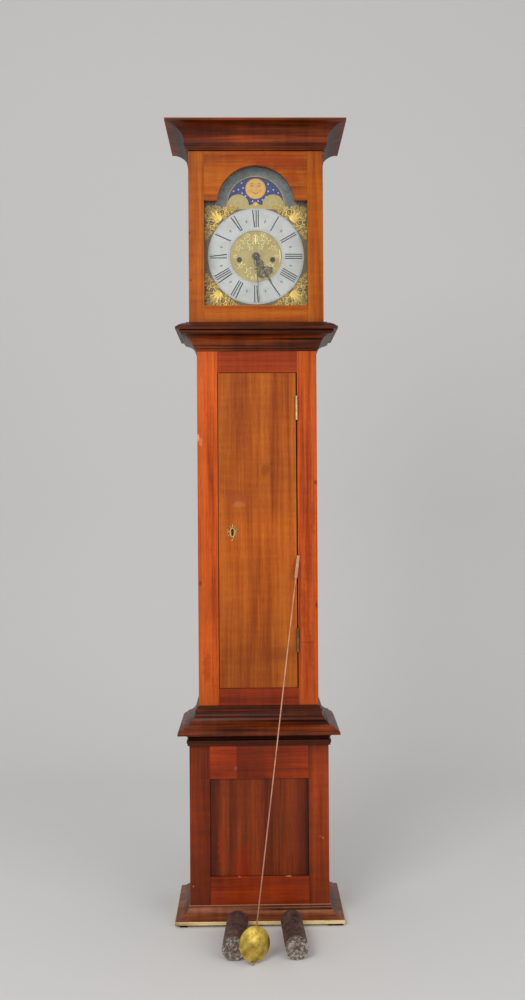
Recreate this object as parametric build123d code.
"""A longcase clock: carcass, hood, two doors, dial, movement, weights and pendulum.

Sizes are millimetres. X runs to the right across the front, Z runs up from the floor,
and Y runs back into the case from the front plane of the base and hood. The dial sets
the widths: the hood fits round the dial, the trunk fits inside the hood, and the base
stands out from the trunk. The finished solids are moved in Y at the end, so that the
origin is under the middle of the whole.
"""
from build123d import *
import math
import os

# Boards and fits
board = 14.0
frame_board = 20.0
back_board = 12.0
rest_gap = 0.3
run_gap = 0.05
door_gap = 1.5
hood_door_gap = 1.0
cut_past = 1.0

# Dial
dial_half = 152.5
dial_side_lap = 4.5
dial_foot_lap = 3.3
dial_shoulder_lap = 1.5
dial_arch_rise = 141.0
dial_arch_shoulder = 34.5
dial_arch_lap = 7.0
dial_setback = 40.0
dial_plate = 2.5
dial_hole_radius = 7.0
dial_post_length = 33.5
dial_post_radius = 3.5
dial_post_inset = 5.0
dial_post_drop = 70.0
dial_post_rise = 60.0
ring_margin = 13.5
ring_width = 64.0
ring_thick = 1.5
spandrel_thick = 2.5
spandrel_margin = 4.0
spandrel_reach = 74.0
spandrel_ring_gap = 2.0
winding_x = 48.0
winding_drop = 9.4
winding_hole_radius = 6.0
winding_square = 5.0

# Moon dial
moon_rise = 8.5
moon_window = 82.0
moon_hump_radius = 30.5
moon_hump_x = 50.6
moon_boss = 9.0
moon_disc_thick = 1.5
moon_disc_teeth = 118
moon_disc_module = 1.5
moon_disc_gap = 2.0
moon_stud_radius = 3.0
moon_flange_radius = 8.0
moon_washer_radius = 7.0
moon_washer_thick = 1.2
moon_end_play = 0.1

# Hands
minute_hand_margin = 1.0
minute_hand_angle = 176.0
hour_hand_length = 90.0
hour_hand_angle = 150.0
hand_thick = 1.2
hand_boss_radius = 10.0
hand_gap = 3.8

# Case
case_depth = 232.0
foot_height = 7.0
foot_depth = 34.0
left_foot_width = 21.0
right_foot_width = 42.0
foot_inset = 5.0
left_foot_shift = 9.0
plinth_height = 41.0
plinth_projection = 41.0
plinth_edge = 10.0
plinth_lip = 3.0
base_step = 26.5
base_top = 504.0
base_stile_width = 58.0
base_bottom_rail = 80.0
base_top_rail = 96.0
base_panel_board = 9.0
base_panel_recess = 5.0
trunk_setback = 25.0
trunk_drop = 50.0
base_moulding_height = 109.0
base_moulding_projection = 58.2
base_moulding_overhang = 5.0
trunk_height = 1020.0
trunk_stile_width = 59.0
throat_height = 55.0
throat_projection = 46.5
hood_side_gap = 6.0
hood_moulding_height = 23.5
hood_moulding_projection = 37.5
cornice_height = 71.0
cornice_projection = 62.5
roof_drop = 13.0
roof_inset = 3.0
backboard_drop = 2.0
hood_ear_gap = 1.0

# Trunk door, its hinges and its lock
trunk_door_foot = 50.0
trunk_door_head = 63.0
trunk_door_proud = 2.0
hinge_leaf = 1.5
hinge_height = 69.0
hinge_knuckle_radius = 3.4
hinge_knuckle_gap = 0.1
hinge_pin_radius = 1.5
hinge_leaf_gap = 0.5
hinge_leaf_set = 1.0
upper_hinge_drop = 101.0
lower_hinge_rise = 137.0
lock_backset = 39.3
lock_rise = 448.0
lock_edge_gap = 1.0
lock_width = 58.0
lock_tall = 62.0
lock_depth = 14.0
lock_back_wall = 2.0
bolt_length = 40.0
bolt_tall = 12.0
bolt_thick = 4.0
bolt_throw_room = 2.0
escutcheon_width = 33.5
escutcheon_tall = 53.0
escutcheon_thick = 1.6
keyhole_width = 7.0
keyhole_slot = 4.2
keyhole_tall = 20.0

# Hood door
hood_door_stile = 44.5
hood_door_board = 20.0
hood_door_bottom_rail = 48.0
hood_door_top_rail = 40.3
hood_glass = 3.0
hood_glass_lap = 7.0
hood_glass_bead = 4.0
hood_strap_thick = 2.0
hood_strap_reach = 55.0
hood_strap_front = 8.0
hood_strap_back = 1.0
hood_strap_eye_radius = 3.2
hood_pivot_out = 3.5
hood_pivot_radius = 1.8
hood_pivot_past = 1.0
mask_board = 12.0
mask_margin = 3.0
mask_gap = 2.0

# Movement frame
plate_thick = 3.5
plate_spacing = 64.0
plates_width = 156.0
plates_tall = 190.0
plates_above_centre = 100.0
pillar_radius = 4.5
pillar_inset = 11.0
pillar_knop = 1.5
pillar_knop_length = 3.0
seatboard_thick = 20.0
seatboard_margin = 12.0
seatboard_back_gap = 5.0
line_slot_width = 10.0
line_slot_length = 50.0
cock_half_width = 22.0
cock_leg = 6.0
cock_below = 8.0
cock_above = 10.0
cock_thick = 4.0
cock_reach = 13.0
bridge_half_width = 30.0
bridge_leg = 4.0
bridge_tall = 8.0
bridge_thick = 1.7
bridge_layer = 12.5
bridge_pipe_radius = 4.0
bridge_pipe_bore = 3.6
bridge_pipe_out = 3.0

# Wheels and arbors
wheel_thick = 2.0
wheel_hub = 5.0
wheel_rim = 4.0
arbor_radius = 2.0
arbor_shoulder = 0.5
pivot_radius = 1.2
centre_front_radius = 1.7
centre_front_out = 5.0
motion_module = 1.25
motion_teeth = 36
motion_stud_length = 18.5
cannon_layer = 9.5
cannon_pipe_radius = 3.4
cannon_pipe_tail = 4.0
hour_layer = 17.5
hour_teeth = 72
hour_pinion_leaves = 6
hour_pipe_radius = 5.2
hour_hub = 9.0
great_teeth = 96
great_thick = 3.0
great_layer = 4.0
strike_great_teeth = 84
strike_module = 0.9
centre_pinion_leaves = 8
centre_teeth = 60
centre_module = 1.0
centre_layer_back = 10.0
third_pinion_leaves = 8
third_teeth = 56
third_module = 0.9
third_layer_back = 34.0
escape_pinion_leaves = 7
escape_teeth = 30
escape_radius = 25.0
escape_tooth_depth = 5.0
escape_rise = 56.0
escape_thick = 2.4
escape_layer_back = 24.0
escape_tooth_root = 2.0
escape_tooth_tip = 0.4
pinion_past = 2.0
barrel_radius = 25.0
barrel_length = 42.0
barrel_flange = 2.0
barrel_arbor_radius = 4.0
winding_arbor_radius = 3.0
winding_square_back = 3.0
winding_square_in = 1.0

# Anchor, crutch, bell and hammer
anchor_rise = 33.0
anchor_hub = 5.0
anchor_thick = 3.5
pallet_gap = 1.2
pallet_wide = 6.0
pallet_span = 58.0
crutch_length = 118.0
crutch_layer = 4.0
crutch_thick = 3.0
crutch_fork_width = 14.0
crutch_fork_length = 20.0
crutch_fork_slot = 6.0
crutch_fork_wall = 4.0
crutch_fork_lead = 8.0
bell_radius = 45.0
bell_wall = 2.5
bell_rise = 118.0
bell_post_radius = 3.0
bell_post_above = 4.0
bell_foot_x = 38.0
bell_foot_width = 12.0
bell_foot_drop = 26.0
bell_arm_width = 8.0
bell_arm_rise = 4.0
hammer_stand_off = 7.0
hammer_rise = 62.0
hammer_shank = 4.0
hammer_head_radius = 5.0
hammer_head_length = 11.0
hammer_head_rise = 126.0
hammer_tail = 14.0

# Weights and pendulum, standing out in front of the plinth
weight_radius = 31.0
weight_length = 176.0
weight_stand_off = 30.0
weight_edge = 1.0
left_weight_rear_x = -63.0
left_weight_front_x = -72.0
right_weight_rear_x = 87.0
right_weight_front_x = 95.0
weight_hook_wire = 2.0
weight_hook_radius = 8.0
weight_hook_stem = 3.0
pendulum_top_inset = 1.0
pendulum_top_height = 1043.0
bob_x = -16.0
bob_reach = 217.0
bob_height = 50.0
bob_radius = 45.0
bob_thick = 24.0
bob_rim = 0.6
bob_turn = 26.0
rod_radius = 1.8
rod_strap_length = 66.0
rod_strap_width = 8.6
rod_strap_thick = 1.6
rod_socket = 4.0
rating_nut_radius = 3.6
rating_nut_length = 5.0

# Widths that follow from the dial
ring_outer = dial_half - ring_margin
ring_inner = ring_outer - ring_width
dial_arch_radius = dial_half - dial_arch_shoulder
hood_opening = dial_half - dial_side_lap
hood_width = 2 * (hood_opening + hood_door_stile)
trunk_width = hood_width - 2 * (board + hood_side_gap)
base_width = trunk_width + 2 * base_step
trunk_door_width = trunk_width - 2 * (trunk_stile_width + door_gap)
hinge_edge = trunk_door_width / 2 + 2 * hinge_leaf + hinge_leaf_gap
hinge_x = trunk_door_width / 2 + hinge_leaf + hinge_leaf_gap / 2
lock_x = lock_backset - trunk_door_width / 2

# Heights that follow, from the floor up
plinth_top = foot_height + plinth_height
base_moulding_top = base_top + base_moulding_height
door_bottom = base_moulding_top + trunk_door_foot
throat_bottom = base_moulding_top + trunk_height
door_top = throat_bottom - trunk_door_head
throat_top = throat_bottom + throat_height
lock_height = door_bottom + lock_rise
hood_bottom = throat_top + rest_gap
hood_moulding_top = hood_bottom + hood_moulding_height
hood_door_low = hood_moulding_top + hood_door_gap
hood_rail_top = hood_door_low + hood_door_bottom_rail
dial_centre = hood_rail_top + dial_half - dial_foot_lap
hood_shoulder = dial_centre + dial_half - dial_shoulder_lap
arch_centre = dial_centre + dial_arch_rise
hood_arch_radius = dial_arch_radius - dial_arch_lap
moon_centre = arch_centre + moon_rise
hood_door_high = arch_centre + hood_arch_radius + hood_door_top_rail
hood_body_top = hood_door_high + hood_door_gap
clock_top = hood_body_top + cornice_height
roof_under = clock_top - roof_drop
seat_top = dial_centre + plates_above_centre - plates_tall
cheek_top = seat_top - seatboard_thick

# Planes that follow, from front to back
door_front = trunk_setback - trunk_door_proud
hinge_y = door_front - hinge_knuckle_radius - hinge_knuckle_gap
dial_front = dial_setback
dial_back = dial_front + dial_plate
plates_front = dial_back + dial_post_length
plates_inner = plates_front + plate_thick
plates_outer = plates_inner + plate_spacing
movement_back = plates_outer + plate_thick
back_face = case_depth - back_board
minute_hand_front = dial_front - ring_thick - 2 * (hand_gap + hand_thick)
hour_hand_front = dial_front - ring_thick - hand_gap - hand_thick


def block(x_low, x_high, y_low, y_high, z_low, z_high):
    """A square-edged board between two corners."""
    size = (x_high - x_low, y_high - y_low, z_high - z_low)
    middle = ((x_low + x_high) / 2, (y_low + y_high) / 2, (z_low + z_high) / 2)
    return Pos(*middle) * Box(*size)


def mirrored(solid):
    """The same piece on the other side of the clock's centreline."""
    return mirror(solid, about=Plane.YZ)


def facing(y):
    """A plane across the clock whose sketch axes are X and Z, facing the viewer."""
    return Plane(origin=(0, y, 0), x_dir=(1, 0, 0), z_dir=(0, -1, 0))


def slab(sketch, y_front, thickness):
    """A plate cut to an outline in X and Z, with its front face at y_front."""
    return extrude(facing(y_front + thickness) * sketch, thickness)


def rod(x, z, radius, y_low, y_high):
    """A round bar that runs front to back."""
    return slab(Pos(x, z) * Circle(radius), y_low, y_high - y_low)


def window(half_width, z_low, z_high):
    """A rectangle about the centreline, between two heights."""
    return Pos(0, (z_low + z_high) / 2) * Rectangle(2 * half_width, z_high - z_low)


def outline(start, *steps):
    """A closed face; a step of three values is an arc whose middle stands off its chord."""
    edges = []
    here = start
    for step in steps:
        there = (step[0], step[1])
        if len(step) == 3:
            run = (there[0] - here[0], there[1] - here[1])
            length = math.hypot(*run)
            middle = (
                (here[0] + there[0]) / 2 - run[1] / length * step[2],
                (here[1] + there[1]) / 2 + run[0] / length * step[2],
            )
            edges.append(ThreePointArc(here, middle, there))
        else:
            edges.append(Line(here, there))
        here = there
    edges.append(Line(here, start))
    return make_face(Curve() + edges)


def moulding(profile, half_width, face_y, reach):
    """A moulding on the front and both sides, mitred at the corners.

    The profile's first axis is how far it stands out from the body's face, and reach is
    the farthest that it stands out. The sides run to the back plane.
    """
    across = Plane(origin=(half_width + reach, face_y, 0), x_dir=(0, -1, 0), z_dir=(-1, 0, 0))
    front = extrude(across * profile, 2 * (half_width + reach))
    side = extrude(facing(case_depth) * (Pos(half_width, 0) * profile), case_depth - face_y + reach)
    corner = (half_width + reach, face_y - reach)
    front_plan = Polyline(
        (-half_width, face_y), (half_width, face_y), corner, (-corner[0], corner[1]), close=True
    )
    side_plan = Polyline(
        (half_width, face_y), corner, (corner[0], case_depth), (half_width, case_depth), close=True
    )
    tall = 2 * clock_top
    front &= extrude(make_face(front_plan), tall)
    side &= extrude(make_face(side_plan), tall)
    return [front, side, mirrored(side)]


def plinth():
    """The moulding round the foot of the base and the pads that it stands on."""
    out = plinth_projection
    hollow = 8
    profile = outline(
        (0, foot_height), (out, foot_height), (out, foot_height + plinth_edge),
        (out - plinth_lip, foot_height + plinth_edge + 1), (plinth_lip, plinth_top - plinth_lip, hollow),
        (plinth_lip, plinth_top), (0, plinth_top),
    )
    pieces = moulding(profile, base_width / 2, 0, out)
    front_y = foot_inset - out
    edge = base_width / 2 + out - foot_inset
    left = left_foot_shift - edge
    rear = case_depth - foot_inset
    feet = [
        block(left, left + left_foot_width, front_y, front_y + foot_depth, 0, foot_height),
        block(edge - right_foot_width, edge, front_y, front_y + foot_depth, 0, foot_height),
        block(edge - right_foot_width, edge, rear - foot_depth, rear, 0, foot_height),
    ]
    feet.append(mirrored(feet[2]))
    return {"plinth_moulding": pieces, "feet": feet}


def base():
    """The base's frame and panel, side boards and floor board."""
    half = base_width / 2
    inner = half - base_stile_width
    panel_low = plinth_top + base_bottom_rail
    panel_high = base_top - base_top_rail
    side = block(half - board, half, frame_board, case_depth, foot_height, base_top)
    stile = block(inner, half, 0, frame_board, foot_height, base_top)
    panel_back = base_panel_recess + base_panel_board
    return {
        "base_front_stiles": [stile, mirrored(stile)],
        "base_front_rails": [
            block(-inner, inner, 0, frame_board, foot_height, panel_low),
            block(-inner, inner, 0, frame_board, panel_high, base_top),
        ],
        "base_front_panel": [block(-inner, inner, base_panel_recess, panel_back, panel_low, panel_high)],
        "base_sides": [side, mirrored(side)],
        "base_floor_board": [
            block(board - half, half - board, frame_board, back_face, plinth_top - board, plinth_top)
        ],
    }


def base_moulding():
    """The deep moulding that steps in from the base to the trunk."""
    low = base_top
    top = base_moulding_top
    out = base_moulding_projection
    bed = (base_width - trunk_width) / 2 + base_moulding_overhang
    bead = bed + 2
    neck = bed - 4
    shelf = out - 12
    profile = outline(
        (0, low), (bed, low), (bed, low + 6), (bead, low + 8), (bead, low + 15), (neck, low + 18),
        (shelf, low + 32, 4), (out, low + 34), (out, low + 40), (44, low + 50, -2), (43, low + 54),
        (17, low + 76, 5.5), (14, low + 78), (9, low + 90, 1.5), (9, top - 16), (11, top - 14),
        (11, top - 10), (5, top - 8), (5, top - 3), (0, top),
    )
    return {"base_top_moulding": moulding(profile, trunk_width / 2, trunk_setback, out)}


def throat():
    """The moulding at the top of the trunk that the hood rests on."""
    low = throat_bottom
    top = throat_top
    out = throat_projection
    profile = outline(
        (0, low), (3.5, low + 2), (3.5, low + 7), (8, low + 9), (8, low + 14), (11.5, low + 17),
        (out - 4, top - 10, 8), (out - 4, top - 8), (out, top - 7), (out, top - 1, -2),
        (out - 1, top), (0, top),
    )
    return {"throat_moulding": moulding(profile, trunk_width / 2, trunk_setback, out)}


def trunk():
    """The trunk's front frame, side boards with cheeks, and the backboard."""
    half = trunk_width / 2
    low = base_top - trunk_drop
    y_front = trunk_setback
    y_back = trunk_setback + frame_board
    lock_edge = trunk_door_width / 2 + door_gap
    side = block(half - board, half, y_back, back_face, low, throat_top)
    side += block(half - board, half, plates_front - seatboard_margin, back_face, throat_top, cheek_top)
    ear = block(half, base_width / 2 - board, back_face, case_depth, foot_height, base_top)
    back_top = roof_under - backboard_drop
    hood_edge = hood_width / 2 - board - hood_ear_gap
    hood_ear = block(half, hood_edge, back_face, case_depth, throat_top, back_top)
    return {
        "trunk_front_stiles": [
            block(-half, -lock_edge, y_front, y_back, low, throat_top),
            block(hinge_edge, half, y_front, y_back, low, throat_top),
        ],
        "trunk_front_rails": [
            block(-lock_edge, hinge_edge, y_front, y_back, low, door_bottom - door_gap),
            block(-lock_edge, hinge_edge, y_front, y_back, door_top + door_gap, throat_top),
        ],
        "trunk_sides": [side, mirrored(side)],
        "backboard": [
            block(-half, half, back_face, case_depth, foot_height, back_top),
            ear, mirrored(ear), hood_ear, mirrored(hood_ear),
        ],
    }


def keyhole(y_low, y_high):
    """The keyhole: a round hole with a slot below it."""
    radius = keyhole_width / 2
    middle = lock_height + keyhole_tall / 2 - radius
    slot = block(lock_x - keyhole_slot / 2, lock_x + keyhole_slot / 2, y_low, y_high,
                 lock_height - keyhole_tall / 2, middle)
    return rod(lock_x, middle, radius, y_low, y_high) + slot


def escutcheon():
    """The plate round the keyhole: an oval with a lobe at its head, at its foot and at
    each shoulder and hip, placed as shares of the plate's half width and half height."""
    half_width = escutcheon_width / 2
    half_tall = escutcheon_tall / 2
    plate = Ellipse(0.84 * half_width, 0.84 * half_tall)
    lobes = [(0, 1, 0.27), (0, -1, 0.27), (-1, 0.36, 0.4), (1, 0.36, 0.4), (-1, -0.36, 0.4), (1, -0.36, 0.4)]
    for across, up, share in lobes:
        radius = share * half_width
        plate += Pos(across * (half_width - radius), up * (half_tall - radius)) * Circle(radius)
    return slab(Pos(lock_x, lock_height) * plate, door_front - escutcheon_thick, escutcheon_thick)


def trunk_door():
    """The trunk door with its escutcheon, lock case and sliding bolt."""
    half = trunk_door_width / 2
    door_back = door_front + frame_board
    leaf = block(-half, half, door_front, door_back, door_bottom, door_top)
    leaf -= keyhole(door_front - cut_past, door_back + cut_past)
    plate = escutcheon() - keyhole(door_front - escutcheon_thick - cut_past, door_front + cut_past)
    case_left = lock_edge_gap - half
    case_back = door_back + lock_depth
    case = block(case_left, case_left + lock_width, door_back, case_back,
                 lock_height - lock_tall / 2, lock_height + lock_tall / 2)
    bolt_left = case_left + bolt_throw_room
    bolt_y = door_back + (lock_depth - bolt_thick) / 2
    bolt_z = lock_height + lock_tall / 2 - bolt_tall
    bolt = block(bolt_left, bolt_left + bolt_length, bolt_y, bolt_y + bolt_thick,
                 bolt_z - bolt_tall / 2, bolt_z + bolt_tall / 2)
    case -= block(case_left - cut_past, bolt_left + bolt_length + bolt_throw_room,
                  bolt_y - rest_gap, bolt_y + bolt_thick + rest_gap,
                  bolt_z - bolt_tall / 2 - rest_gap, bolt_z + bolt_tall / 2 + rest_gap)
    case -= keyhole(door_back - cut_past, case_back - lock_back_wall)
    return {"trunk_door": [leaf], "door_escutcheon": [plate], "door_lock": [case], "lock_bolt": [bolt]}


def trunk_hinges():
    """Two butt hinges: leaves on the case, leaves on the door, and their pins."""
    case_leaves = []
    door_leaves = []
    pins = []
    knuckle = hinge_height / 3
    edge = trunk_door_width / 2
    leaf_back = door_front + frame_board - hinge_leaf_set
    leaf_front = door_front + hinge_knuckle_gap
    for middle in (door_bottom + lower_hinge_rise, door_top - upper_hinge_drop):
        low = middle - hinge_height / 2
        high = middle + hinge_height / 2
        hole = Pos(hinge_x, hinge_y, middle) * Cylinder(hinge_pin_radius + run_gap, 2 * hinge_height)
        case_leaf = block(hinge_edge - hinge_leaf, hinge_edge, leaf_front, leaf_back, low, high)
        for end in (low + knuckle / 2, high - knuckle / 2):
            case_leaf += block(hinge_edge - hinge_leaf, hinge_edge, hinge_y, leaf_front,
                               end - knuckle / 2, end + knuckle / 2)
            case_leaf += Pos(hinge_x, hinge_y, end) * Cylinder(hinge_knuckle_radius, knuckle)
        case_leaves.append(case_leaf - hole)
        low_middle = middle - knuckle / 2 + rest_gap
        high_middle = middle + knuckle / 2 - rest_gap
        door_leaf = block(edge, edge + hinge_leaf, leaf_front, leaf_back, low, high)
        door_leaf += block(edge, edge + hinge_leaf, hinge_y, leaf_front, low_middle, high_middle)
        door_leaf += Pos(hinge_x, hinge_y, middle) * Cylinder(hinge_knuckle_radius, high_middle - low_middle)
        door_leaves.append(door_leaf - hole)
        pins.append(Pos(hinge_x, hinge_y, middle) * Cylinder(hinge_pin_radius, hinge_height))
    return {"door_hinge_case_leaves": case_leaves, "door_hinge_door_leaves": door_leaves,
            "door_hinge_pins": pins}


def hood():
    """The hood's sides, rails, top board, dial mask and mouldings."""
    half = hood_width / 2
    y_front = hood_door_board + rest_gap
    side = block(half - board, half, y_front, case_depth, hood_bottom, roof_under)
    reach_x = dial_half + mask_margin
    mask_sketch = window(half - board, hood_moulding_top, roof_under)
    mask_sketch -= window(reach_x, dial_centre - reach_x, hood_shoulder)
    mask_sketch -= Pos(0, arch_centre) * Circle(dial_arch_radius + mask_margin)
    low = hood_body_top
    top = clock_top
    out = cornice_projection
    cove = outline(
        (0, low), (5, low), (5, low + 4), (9, low + 6), (9, low + 10), (12, low + 11), (12, low + 31),
        (out - 1, top - 7, 10), (out, top - 7), (out, top), (0, top),
    )
    low = hood_bottom
    top = hood_moulding_top
    out = hood_moulding_projection
    nosing = outline(
        (0, low), (out, low), (out, low + 7), (out - 3, low + 8.5), (9, top - 2, -2), (9, top), (0, top),
    )
    return {
        "hood_sides": [side, mirrored(side)],
        "hood_rails": [
            block(-half, half, 0, hood_door_board, hood_bottom, hood_moulding_top),
            block(-half, half, 0, hood_door_board, hood_body_top, roof_under),
        ],
        "hood_top_board": [block(-half, half, 0, case_depth, roof_under, clock_top - roof_inset)],
        "dial_mask": [slab(mask_sketch, y_front + mask_gap, mask_board)],
        "cornice": moulding(cove, half, 0, cornice_projection),
        "hood_base_moulding": moulding(nosing, half, 0, hood_moulding_projection),
    }


def hood_door():
    """The arched glazed door: stiles, rails, glass, straps and the pivots they turn on."""
    half = hood_width / 2
    low = hood_door_low
    high = hood_door_high
    inner = hood_opening
    pivot_x = half + hood_pivot_out
    pivot_y = hood_door_board + rest_gap / 2
    stile = block(inner, half, 0, hood_door_board, low, high)
    bottom_rail = block(-inner, inner, 0, hood_door_board, low, hood_rail_top)
    arch = window(inner, hood_shoulder, high) - Pos(0, arch_centre) * Circle(hood_arch_radius)
    top_rail = slab(arch, 0, hood_door_board)
    lap = hood_glass_lap
    pane = window(inner + lap, hood_rail_top - lap, hood_shoulder + lap)
    pane += Pos(0, arch_centre) * Circle(hood_arch_radius + lap)
    glass_front = hood_door_board - hood_glass_bead - hood_glass
    rebate = slab(pane, glass_front, hood_glass + hood_glass_bead + cut_past)
    glass = slab(pane, glass_front, hood_glass)
    strap_back = hood_door_board - hood_strap_back
    straps = []
    pivots = []
    for strap_low in (low, high - hood_strap_thick):
        tongue = make_face(Polyline(
            (half - hood_strap_reach, hood_strap_front), (half + 1, hood_strap_front),
            (pivot_x + hood_strap_eye_radius, pivot_y), (pivot_x - hood_strap_eye_radius, pivot_y),
            (half, strap_back), (half - hood_strap_reach, strap_back), close=True))
        eye = Pos(pivot_x, pivot_y) * Circle(hood_strap_eye_radius)
        hole = Pos(pivot_x, pivot_y) * Circle(hood_pivot_radius + run_gap)
        straps.append(Pos(0, 0, strap_low) * extrude(tongue + eye - hole, hood_strap_thick))
    strap_and_past = hood_strap_thick + hood_pivot_past
    for pin_low, pin_high in ((hood_moulding_top, low + strap_and_past), (high - strap_and_past, hood_body_top)):
        tall = pin_high - pin_low
        pivots.append(Pos(pivot_x, pivot_y, pin_low + tall / 2) * Cylinder(hood_pivot_radius, tall))
    cut = rebate + straps[0] + straps[1]
    return {
        "hood_door_stiles": [stile - cut, mirrored(stile) - rebate],
        "hood_door_rails": [bottom_rail - cut, top_rail - cut],
        "hood_door_glass": [glass],
        "hood_door_straps": straps,
        "hood_door_pivots": pivots,
    }


def toothed(teeth, module, tall=0.8, thick=0.2, deep=1.3, splay=0.04):
    """A toothed outline; tall and deep are the tooth above and below the pitch circle in
    modules, thick and splay are its width at the tip and its spread at the root as shares
    of the pitch. A gap between two teeth points up."""
    pitch = 2 * math.pi / teeth
    radius = teeth * module / 2
    root = radius - deep * module
    tip = radius + tall * module
    corners = []
    for tooth in range(teeth):
        middle = tooth + 0.5
        for share, r in ((-thick - splay, root), (-thick / 2, tip), (thick / 2, tip), (thick + splay, root)):
            angle = (middle + share) * pitch
            corners.append((r * math.sin(angle), r * math.cos(angle)))
    return make_face(Polyline(*corners, close=True))


def crossings(outer, inner, arms=4, arm_width=4.0):
    """The openings between the arms of a wheel."""
    windows = Circle(outer) - Circle(inner)
    for arm in range(arms):
        turn = 360 / arms * arm
        windows -= Rot(0, 0, turn) * (Pos(outer, 0) * Rectangle(2 * outer, arm_width))
    return windows


def wheel(x, z, teeth, module, y_front, turn=0.0, hub=wheel_hub, thickness=wheel_thick):
    """A crossed-out brass wheel at x, z with its rim turned by an angle."""
    root = teeth * module / 2 - 1.3 * module
    sketch = toothed(teeth, module)
    if root > 3 * hub:
        sketch -= crossings(root - wheel_rim, hub)
    return slab(Pos(x, z) * (Rot(0, 0, turn) * sketch), y_front, thickness)


def pinion(x, z, leaves, module, y_low, y_high, turn=0.0):
    """A pinion of few leaves."""
    sketch = toothed(leaves, module, tall=0.5, thick=0.13, deep=1.15)
    return slab(Pos(x, z) * (Rot(0, 0, turn) * sketch), y_low, y_high - y_low)


def arbor_shaft(x, z, radius=arbor_radius):
    """A steel arbor between the plates, with thinner pivots in the plates."""
    shaft = rod(x, z, radius, plates_inner + arbor_shoulder, plates_outer - arbor_shoulder)
    return shaft + rod(x, z, pivot_radius, plates_front, movement_back)


def train_places():
    """Where each arbor stands, from the numbers of teeth and their modules."""
    z0 = dial_centre
    centre_to_third = (centre_teeth + third_pinion_leaves) * centre_module / 2
    third_to_escape = (third_teeth + escape_pinion_leaves) * third_module / 2
    rise = (centre_to_third ** 2 - third_to_escape ** 2 + escape_rise ** 2) / (2 * escape_rise)
    side = math.sqrt(centre_to_third ** 2 - rise ** 2)
    return {
        "centre": (0, z0), "third": (side, z0 + rise), "escape": (0, z0 + escape_rise),
        "anchor": (0, z0 + escape_rise + anchor_rise), "going": (winding_x, z0 - winding_drop),
        "striking": (-winding_x, z0 - winding_drop), "motion": (0, z0 - motion_teeth * motion_module),
        "hammer": (-bell_radius - hammer_stand_off, z0 + hammer_rise),
    }


def toward(here, there):
    """The sketch angle, anticlockwise from straight up, of one arbor seen from another."""
    return -math.degrees(math.atan2(there[0] - here[0], there[1] - here[1]))


def winding_barrel(place, teeth, module, turn):
    """A barrel with its great wheel and the arbor that ends in a winding square."""
    x, z = place
    wheel_front = plates_inner + great_layer
    wheel_back = wheel_front + great_thick
    barrel = wheel(x, z, teeth, module, wheel_front, turn, thickness=great_thick, hub=barrel_radius)
    barrel += rod(x, z, barrel_radius, wheel_back, wheel_back + barrel_length + barrel_flange)
    barrel += arbor_shaft(x, z, barrel_arbor_radius)
    barrel += rod(x, z, winding_arbor_radius, plates_front - winding_square_back - cut_past,
                  plates_inner + cut_past)
    square_front = dial_front + winding_square_in
    square = slab(Pos(x, z) * Rectangle(winding_square, winding_square), square_front,
                  plates_front - winding_square_back - square_front)
    return barrel + square


def escape_rim():
    """The escape wheel's outline: a crossed-out rim with slim upright teeth."""
    rim = escape_radius - escape_tooth_depth
    spikes = Circle(rim)
    root = rim - escape_tooth_tip
    half = escape_tooth_root / 2
    for tooth in range(escape_teeth):
        spike = make_face(Polyline((-half, root), (half, root), (half - 0.1, escape_radius),
                                   (half - 0.1 - escape_tooth_tip, escape_radius), close=True))
        spikes += Rot(0, 0, 360 / escape_teeth * tooth) * spike
    return spikes - crossings(rim - wheel_rim, wheel_hub, arm_width=3.0)


def going_train():
    """The going barrel, centre wheel, third wheel, escape wheel and anchor."""
    place = train_places()
    centre, third, escape = place["centre"], place["third"], place["escape"]
    going, striking = place["going"], place["striking"]
    distance = math.hypot(winding_x, winding_drop)
    great_module = 2 * distance / (great_teeth + centre_pinion_leaves)
    great_y = plates_inner + great_layer
    centre_y = plates_outer - centre_layer_back
    third_y = plates_outer - third_layer_back
    escape_y = plates_outer - escape_layer_back
    pinion_long = wheel_thick + pinion_past
    centre_body = arbor_shaft(*centre)
    centre_body += rod(*centre, centre_front_radius, minute_hand_front - centre_front_out, plates_inner)
    centre_body += pinion(*centre, centre_pinion_leaves, great_module, great_y - pinion_past,
                          great_y + great_thick + pinion_past,
                          toward(centre, going) + 180 / centre_pinion_leaves)
    centre_body += wheel(*centre, centre_teeth, centre_module, centre_y, toward(centre, third))
    third_body = arbor_shaft(*third)
    third_body += pinion(*third, third_pinion_leaves, centre_module, centre_y - pinion_past,
                         centre_y + pinion_long, toward(third, centre) + 180 / third_pinion_leaves)
    third_body += wheel(*third, third_teeth, third_module, third_y, toward(third, escape))
    escape_body = arbor_shaft(*escape)
    escape_body += pinion(*escape, escape_pinion_leaves, third_module, third_y - pinion_past,
                          third_y + pinion_long, toward(escape, third) + 180 / escape_pinion_leaves)
    escape_body += slab(Pos(*escape) * escape_rim(), escape_y, escape_thick)
    return {
        "going_barrel": [winding_barrel(going, great_teeth, great_module, toward(going, centre))],
        "striking_barrel": [winding_barrel(striking, strike_great_teeth, strike_module, 0)],
        "centre_wheel": [centre_body],
        "third_wheel": [third_body],
        "escape_wheel": [escape_body],
        "anchor": [anchor(place["anchor"], escape_y + (escape_thick - anchor_thick) / 2)],
    }


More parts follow.
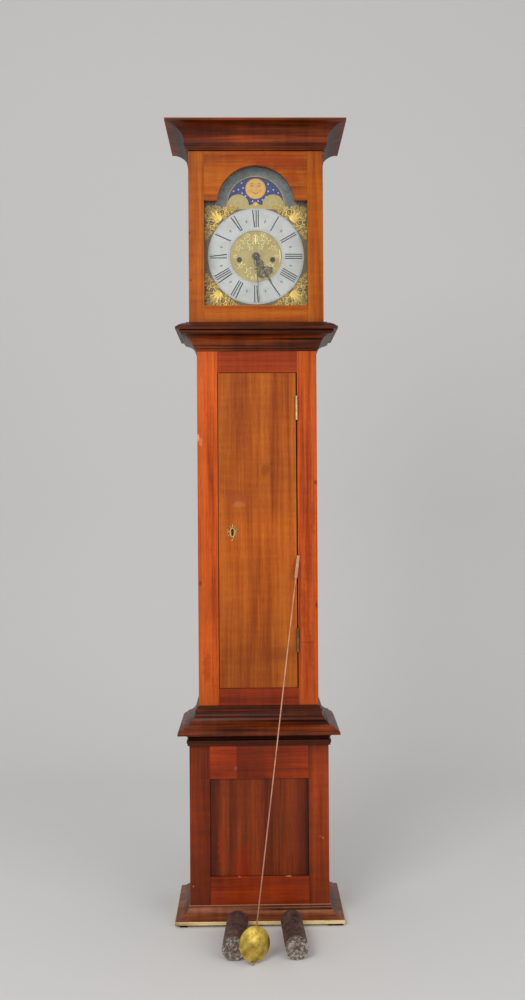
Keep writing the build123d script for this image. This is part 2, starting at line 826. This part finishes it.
def anchor(place, y_front):
    """The anchor over the escape wheel, with its arbor and the crutch behind the plates."""
    x, z = place
    inner = escape_radius + pallet_gap
    arms = Circle(inner + pallet_wide) - Circle(inner)
    reach = 3 * escape_radius
    spread = reach * math.tan(math.radians(pallet_span))
    arms &= make_face(Polyline((0, 0), (-spread, reach), (spread, reach), close=True))
    hub = Pos(0, anchor_rise) * Circle(anchor_hub)
    body = slab(Pos(x, z - anchor_rise) * (arms + hub), y_front, anchor_thick)
    body += arbor_shaft(x, z)
    body += rod(x, z, pivot_radius, movement_back, movement_back + cock_reach - cut_past)
    crutch_y = movement_back + crutch_layer
    foot = z - crutch_length
    half = crutch_thick / 2
    body += rod(x, z, anchor_hub, crutch_y, crutch_y + crutch_thick)
    body += block(x - half, x + half, crutch_y, crutch_y + crutch_thick, foot, z)
    fork_half = crutch_fork_width / 2
    slot_half = crutch_fork_slot / 2
    slot_y = crutch_y + crutch_fork_lead
    fork = block(x - fork_half, x + fork_half, crutch_y, crutch_y + crutch_fork_length,
                 foot - crutch_fork_wall, foot)
    fork -= block(x - slot_half, x + slot_half, slot_y, slot_y + crutch_fork_lead,
                  foot - crutch_fork_wall - cut_past, foot + cut_past)
    return body + fork


def movement_plates():
    """The two plates, with the motion work's stud on the front one, and the pillars."""
    place = train_places()
    z0 = dial_centre
    plate_low = z0 + plates_above_centre - plates_tall
    plate_high = z0 + plates_above_centre
    sketch = window(plates_width / 2, plate_low, plate_high)
    for key in ("third", "escape", "anchor", "hammer"):
        sketch -= Pos(*place[key]) * Circle(pivot_radius + run_gap)
    sketch -= Pos(*place["centre"]) * Circle(centre_front_radius + run_gap)
    front = slab(sketch, plates_front, plate_thick)
    rear = slab(sketch, plates_outer, plate_thick)
    for key in ("going", "striking"):
        front -= rod(*place[key], winding_arbor_radius + run_gap, plates_front - cut_past,
                     plates_inner + cut_past)
        rear -= rod(*place[key], pivot_radius + run_gap, plates_outer - cut_past, movement_back + cut_past)
    front += rod(*place["motion"], centre_front_radius, plates_front - motion_stud_length, plates_front)
    reach_x = plates_width / 2 - pillar_inset
    pillars = []
    for side in (-1, 1):
        for z_post in (plate_low + pillar_inset, plate_high - pillar_inset):
            post = rod(side * reach_x, z_post, pillar_radius, plates_inner, plates_outer)
            for share in (0.12, 0.5, 0.88):
                y_knop = plates_inner + share * plate_spacing - pillar_knop_length / 2
                post += rod(side * reach_x, z_post, pillar_radius + pillar_knop, y_knop,
                            y_knop + pillar_knop_length)
            pillars.append(post)
    return {"front_plate": [front], "back_plate": [rear], "movement_pillars": pillars}


def seatboard():
    """The board across the cheeks that carries the movement, slotted for the two lines."""
    half = trunk_width / 2
    seat = block(-half, half, plates_front - seatboard_margin, back_face - seatboard_back_gap,
                 cheek_top, seat_top)
    line_y = plates_inner + plate_spacing / 2
    for side in (-1, 1):
        seat -= block(side * winding_x - line_slot_width / 2, side * winding_x + line_slot_width / 2,
                      line_y - line_slot_length / 2, line_y + line_slot_length / 2,
                      cheek_top - cut_past, seat_top + cut_past)
    return {"seatboard": [seat]}


def cock_and_bridge():
    """The cock behind the plates that holds the anchor's arbor, and the minute bridge,
    whose pipe carries the hour wheel in front of them."""
    x, z = train_places()["anchor"]
    cock_back = movement_back + cock_reach + cock_thick
    low = z - cock_below
    high = z + cock_above
    cock = block(-cock_half_width, cock_half_width, movement_back + cock_reach, cock_back, low, high)
    cock -= rod(x, z, pivot_radius + run_gap, movement_back + cock_reach - cut_past, cock_back + cut_past)
    for side in (-1, 1):
        middle = side * cock_half_width
        cock += block(middle - cock_leg / 2, middle + cock_leg / 2, movement_back, cock_back, low, high)
    z0 = dial_centre
    bridge_y = plates_front - bridge_layer
    low = z0 - bridge_tall / 2
    high = z0 + bridge_tall / 2
    bridge = block(-bridge_half_width, bridge_half_width, bridge_y, bridge_y + bridge_thick, low, high)
    for side in (-1, 1):
        middle = side * (bridge_half_width - bridge_leg / 2)
        bridge += block(middle - bridge_leg / 2, middle + bridge_leg / 2, bridge_y, plates_front, low, high)
    pipe_front = dial_front - bridge_pipe_out
    bridge += rod(0, z0, bridge_pipe_radius, pipe_front, bridge_y)
    bridge -= rod(0, z0, bridge_pipe_bore, pipe_front - cut_past, bridge_y + bridge_thick + cut_past)
    return {"back_cock": [cock], "minute_bridge": [bridge]}


def bell():
    """The bell over the movement, on a post with an arm and a foot on the back plate."""
    bell_y = plates_inner + plate_spacing / 2
    bell_z = dial_centre + bell_rise
    plate_high = dial_centre + plates_above_centre
    arm_low = plate_high + bell_arm_rise
    arm_high = arm_low + crutch_thick
    arm_front = bell_y - bell_arm_width / 2
    foot_back = movement_back + crutch_thick
    foot_low = arm_low - bell_foot_drop
    stand = block(bell_foot_x - bell_foot_width / 2, bell_foot_x + bell_foot_width / 2, movement_back,
                  foot_back, foot_low, arm_low)
    stand += block(bell_foot_x - bell_arm_width / 2, bell_foot_x + bell_arm_width / 2, arm_front,
                   foot_back, arm_low, arm_high)
    stand += block(-bell_arm_width / 2, bell_foot_x + bell_arm_width / 2, arm_front,
                   bell_y + bell_arm_width / 2, arm_low, arm_high)
    post_high = bell_z + bell_radius + bell_post_above
    stand += Pos(0, bell_y, (arm_low + post_high) / 2) * Cylinder(bell_post_radius, post_high - arm_low)
    cup = Pos(0, bell_y, bell_z) * (Sphere(bell_radius) - Sphere(bell_radius - bell_wall))
    reach = 2 * bell_radius
    cup &= block(-reach, reach, bell_y - reach, bell_y + reach, bell_z, bell_z + reach)
    cup -= Pos(0, bell_y, bell_z + bell_radius) * Cylinder(bell_post_radius, bell_radius)
    return {"bell_stand": [stand], "bell": [cup]}


def hammer():
    """The bell hammer on its arbor, with the tail that the striking train would lift."""
    x, z = train_places()["hammer"]
    bell_y = plates_inner + plate_spacing / 2
    half = hammer_shank / 2
    head_z = dial_centre + hammer_head_rise
    body = arbor_shaft(x, z)
    body += block(x - half, x + half, bell_y - 1.5, bell_y + 1.5, z, head_z - 2)
    head = Pos(x + 1, bell_y, head_z) * (Rot(0, 90, 0) * Cylinder(hammer_head_radius, hammer_head_length))
    tail_y = bell_y + hammer_tail
    tail = block(x, x + hammer_tail, tail_y, tail_y + 2, z - half, z + half)
    return {"hammer": [body + head + tail]}


def motion_work():
    """The hands with the wheels behind the dial that turn the hour hand once in twelve."""
    place = train_places()
    x0, z0 = place["centre"]
    motion = place["motion"]
    hour_module = 2 * motion_teeth * motion_module / (hour_teeth + hour_pinion_leaves)
    cannon_y = plates_front - cannon_layer
    hour_y = plates_front - hour_layer
    stud_bore = centre_front_radius + run_gap
    cannon = wheel(x0, z0, motion_teeth, motion_module, cannon_y, toward((x0, z0), motion))
    cannon += rod(x0, z0, cannon_pipe_radius, minute_hand_front, cannon_y + cannon_pipe_tail)
    cannon -= rod(x0, z0, stud_bore, minute_hand_front - cut_past, plates_front)
    second = wheel(*motion, motion_teeth, motion_module, cannon_y, 180 / motion_teeth)
    second += pinion(*motion, hour_pinion_leaves, hour_module, hour_y - cut_past, cannon_y,
                     180 / hour_pinion_leaves)
    second -= rod(*motion, stud_bore, hour_y - 2 * cut_past, plates_front)
    hour = wheel(x0, z0, hour_teeth, hour_module, hour_y, toward((x0, z0), motion), hub=hour_hub)
    hour += rod(x0, z0, hour_pipe_radius, hour_hand_front, hour_y)
    hour -= rod(x0, z0, bridge_pipe_radius + run_gap, hour_hand_front - cut_past, hour_y + wheel_hub)
    length = ring_outer - minute_hand_margin
    swell = 0.29 * length
    waist = 0.43 * length
    blade = Circle(hand_boss_radius)
    blade += make_face(Polyline((-3, 0), (-4.5, swell), (-1.6, waist), (-1.2, length - 1), (0, length),
                                (1.2, length - 1), (1.6, waist), (4.5, swell), (3, 0), close=True))
    minute = Rot(0, 0, -minute_hand_angle) * (blade - Circle(cannon_pipe_radius))
    length = hour_hand_length
    neck = 0.33 * length
    barb = 0.53 * length
    shoulder = 0.62 * length
    throat_up = 0.64 * length
    short = Circle(hand_boss_radius + 1)
    short += make_face(Polyline((-3, 0), (-3, neck), (-12, barb), (-9, shoulder), (-2, throat_up),
                                (0, length), (2, throat_up), (9, shoulder), (12, barb), (3, neck),
                                (3, 0), close=True))
    hours = Rot(0, 0, -hour_hand_angle) * (short - Circle(hour_pipe_radius))
    return {
        "minute_hand": [slab(Pos(x0, z0) * minute, minute_hand_front, hand_thick)],
        "hour_hand": [slab(Pos(x0, z0) * hours, hour_hand_front, hand_thick)],
        "cannon_wheel": [cannon], "motion_wheel": [second], "hour_wheel": [hour],
    }


def dial():
    """The brass dial plate with its posts, the chapter ring, spandrels and moon disc."""
    z0 = dial_centre
    sketch = window(dial_half, z0 - dial_half, z0 + dial_half)
    sketch += Pos(0, arch_centre) * Circle(dial_arch_radius)
    sky = Pos(0, moon_centre) * Circle(moon_window)
    sky &= window(2 * moon_window, moon_centre, moon_centre + 2 * moon_window)
    for side in (-1, 1):
        sky -= Pos(side * moon_hump_x, moon_centre) * Circle(moon_hump_radius)
    sky -= Pos(0, moon_centre) * Circle(moon_boss)
    sketch -= sky
    sketch -= Pos(0, z0) * Circle(dial_hole_radius)
    for side in (-1, 1):
        sketch -= Pos(side * winding_x, z0 - winding_drop) * Circle(winding_hole_radius)
    plate = slab(sketch, dial_front, dial_plate)
    disc_front = dial_back + moon_disc_gap
    flange_back = disc_front - moon_end_play
    washer_front = disc_front + moon_disc_thick + 2 * moon_end_play
    plate += rod(0, moon_centre, moon_flange_radius, dial_back, flange_back)
    plate += rod(0, moon_centre, moon_stud_radius, flange_back, washer_front)
    plate += rod(0, moon_centre, moon_washer_radius, washer_front, washer_front + moon_washer_thick)
    post_x = plates_width / 2 - dial_post_inset
    for side in (-1, 1):
        for z_post in (z0 - dial_post_drop, z0 + dial_post_rise):
            plate += rod(side * post_x, z_post, dial_post_radius, dial_back, plates_front)
    ring = slab(Pos(0, z0) * (Circle(ring_outer) - Circle(ring_inner)), dial_front - ring_thick, ring_thick)
    edge = dial_half - spandrel_margin
    corner = make_face(Polyline((edge - spandrel_reach, edge), (edge, edge), (edge, edge - spandrel_reach),
                                close=True))
    corner -= Circle(ring_outer + spandrel_ring_gap)
    spandrels = []
    for quarter in range(4):
        turned = Rot(0, 0, 90 * quarter) * corner
        spandrels.append(slab(Pos(0, z0) * turned, dial_front - spandrel_thick, spandrel_thick))
    disc = toothed(moon_disc_teeth, moon_disc_module) - Circle(moon_stud_radius + run_gap)
    return {
        "dial_plate": [plate], "chapter_ring": [ring], "dial_spandrels": spandrels,
        "moon_disc": [slab(Pos(0, moon_centre) * disc, disc_front, moon_disc_thick)],
    }


def weight(rear_x, front_x):
    """A cylinder weight lying on the floor, its rear end with a wire hook."""
    turn = math.asin((front_x - rear_x) / weight_length)
    axis = (math.sin(turn), -math.cos(turn), 0)
    rear_y = -plinth_projection - weight_stand_off
    back = Plane(origin=(rear_x, rear_y, weight_radius), x_dir=(math.cos(turn), math.sin(turn), 0), z_dir=axis)
    body = back * Cylinder(weight_radius, weight_length, align=(Align.CENTER, Align.CENTER, Align.MIN))
    body = chamfer(body.edges(), weight_edge)
    wire = weight_hook_wire
    body += back * Pos(0, 0, -weight_hook_stem) * Cylinder(wire, 2 * weight_hook_stem)
    eye_drop = weight_hook_stem + wire + weight_hook_radius
    return body + back * Pos(0, 0, -eye_drop) * (Rot(90, 0, 0) * Torus(weight_hook_radius, wire))


def pendulum():
    """The pendulum leaning on the trunk: strap and rod, brass bob, rating nut."""
    turn = math.radians(bob_turn)
    corner = (rod_strap_width * math.sin(turn) + rod_strap_thick * math.cos(turn)) / 2
    top = Vector(hinge_edge + pendulum_top_inset, trunk_setback - rest_gap - corner, pendulum_top_height)
    bob = Vector(bob_x, -plinth_projection - bob_reach, bob_height)
    up = (top - bob).normalized()
    across = Vector(math.cos(turn), math.sin(turn), 0)
    across = (across - up * across.dot(up)).normalized()
    frame = Plane(origin=bob, x_dir=across, z_dir=up)
    length = (top - bob).length
    tail = (bob_height - rod_radius) / up.Z
    strap = Box(rod_strap_width, rod_strap_thick, rod_strap_length,
                align=(Align.CENTER, Align.CENTER, Align.MAX))
    bar = Cylinder(rod_radius, length - rod_strap_length + rod_socket + tail,
                   align=(Align.CENTER, Align.CENTER, Align.MIN))
    rod_piece = Pos(0, 0, length) * strap + Pos(0, 0, -tail) * bar
    bulge = bob_thick / 2
    lens = (bob_radius ** 2 + bulge ** 2) / (2 * bulge)
    disc = Pos(0, lens - bulge, 0) * Sphere(lens) & Pos(0, bulge - lens, 0) * Sphere(lens)
    disc &= Rot(90, 0, 0) * Cylinder(bob_radius - bob_rim, 2 * bob_thick)
    hole = Cylinder(rod_radius + run_gap, 3 * bob_radius)
    nut = Pos(0, 0, -bob_radius - rating_nut_length / 2) * Cylinder(rating_nut_radius, rating_nut_length)
    return {
        "pendulum_rod": [frame * rod_piece],
        "pendulum_bob": [frame * (disc - hole)],
        "rating_nut": [frame * (nut - hole)],
    }


def write_parts(nodes):
    """Centre the whole in Y, write each node's solids to a file, and print the shift."""
    solids = [solid for pieces in nodes.values() for solid in pieces]
    box = Compound(children=[Compound(children=piece.solids()) for piece in solids]).bounding_box()
    shift = -(box.min.Y + box.max.Y) / 2
    os.makedirs("parts", exist_ok=True)
    for name, pieces in nodes.items():
        group = [Pos(0, shift, 0) * solid for piece in pieces for solid in piece.solids()]
        shape = group[0] if len(group) == 1 else Compound(children=group)
        export_step(shape, os.path.join("parts", name + ".step"))
    print("shift in Y", round(shift, 4), "whole", box.size)


nodes = {}
for group in (plinth, base, base_moulding, throat, trunk, trunk_door, trunk_hinges, hood, hood_door, dial,
              motion_work, going_train, movement_plates, seatboard, cock_and_bridge, bell, hammer, pendulum):
    nodes.update(group())
nodes["left_weight"] = [weight(left_weight_rear_x, left_weight_front_x)]
nodes["right_weight"] = [weight(right_weight_rear_x, right_weight_front_x)]
write_parts(nodes)
